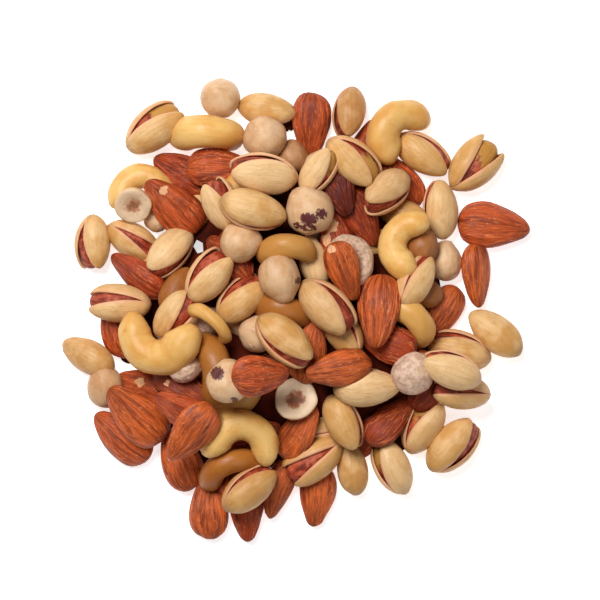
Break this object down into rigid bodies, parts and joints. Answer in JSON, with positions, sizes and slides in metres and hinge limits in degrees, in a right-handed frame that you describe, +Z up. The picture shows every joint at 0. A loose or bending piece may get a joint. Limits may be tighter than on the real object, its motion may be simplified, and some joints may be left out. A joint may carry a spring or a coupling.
{
  "type": "heap of mixed nuts",
  "caption": "Loose heap of mixed nuts on a flat base: almonds in their skins, split pistachios in the shell, cashews and skinned hazelnuts.",
  "frame": {"origin": "middle of the box round the heap, on the surface that it lies on", "axes": "+Z up; +Y is the top of the picture, which looks straight down"},
  "size_m": [0.1589, 0.1576, 0.0412],
  "materials": {
    "almond_skin": "matt, ridged along the nut, with pale dust in the ridges",
    "pistachio_shell": "smooth and dry, with a low sheen",
    "pistachio_kernel": "papery skin, red to yellow-green",
    "cashew": "smooth, roasted, with a soft sheen",
    "hazelnut": "skinned, waxy, with a few scraps of dark skin",
    "almond_flesh": "matt, where a skin has rubbed off"
  },
  "bodies": {
    "root": {"nut_heap": "almond_skin"}
  },
  "joints": []
}
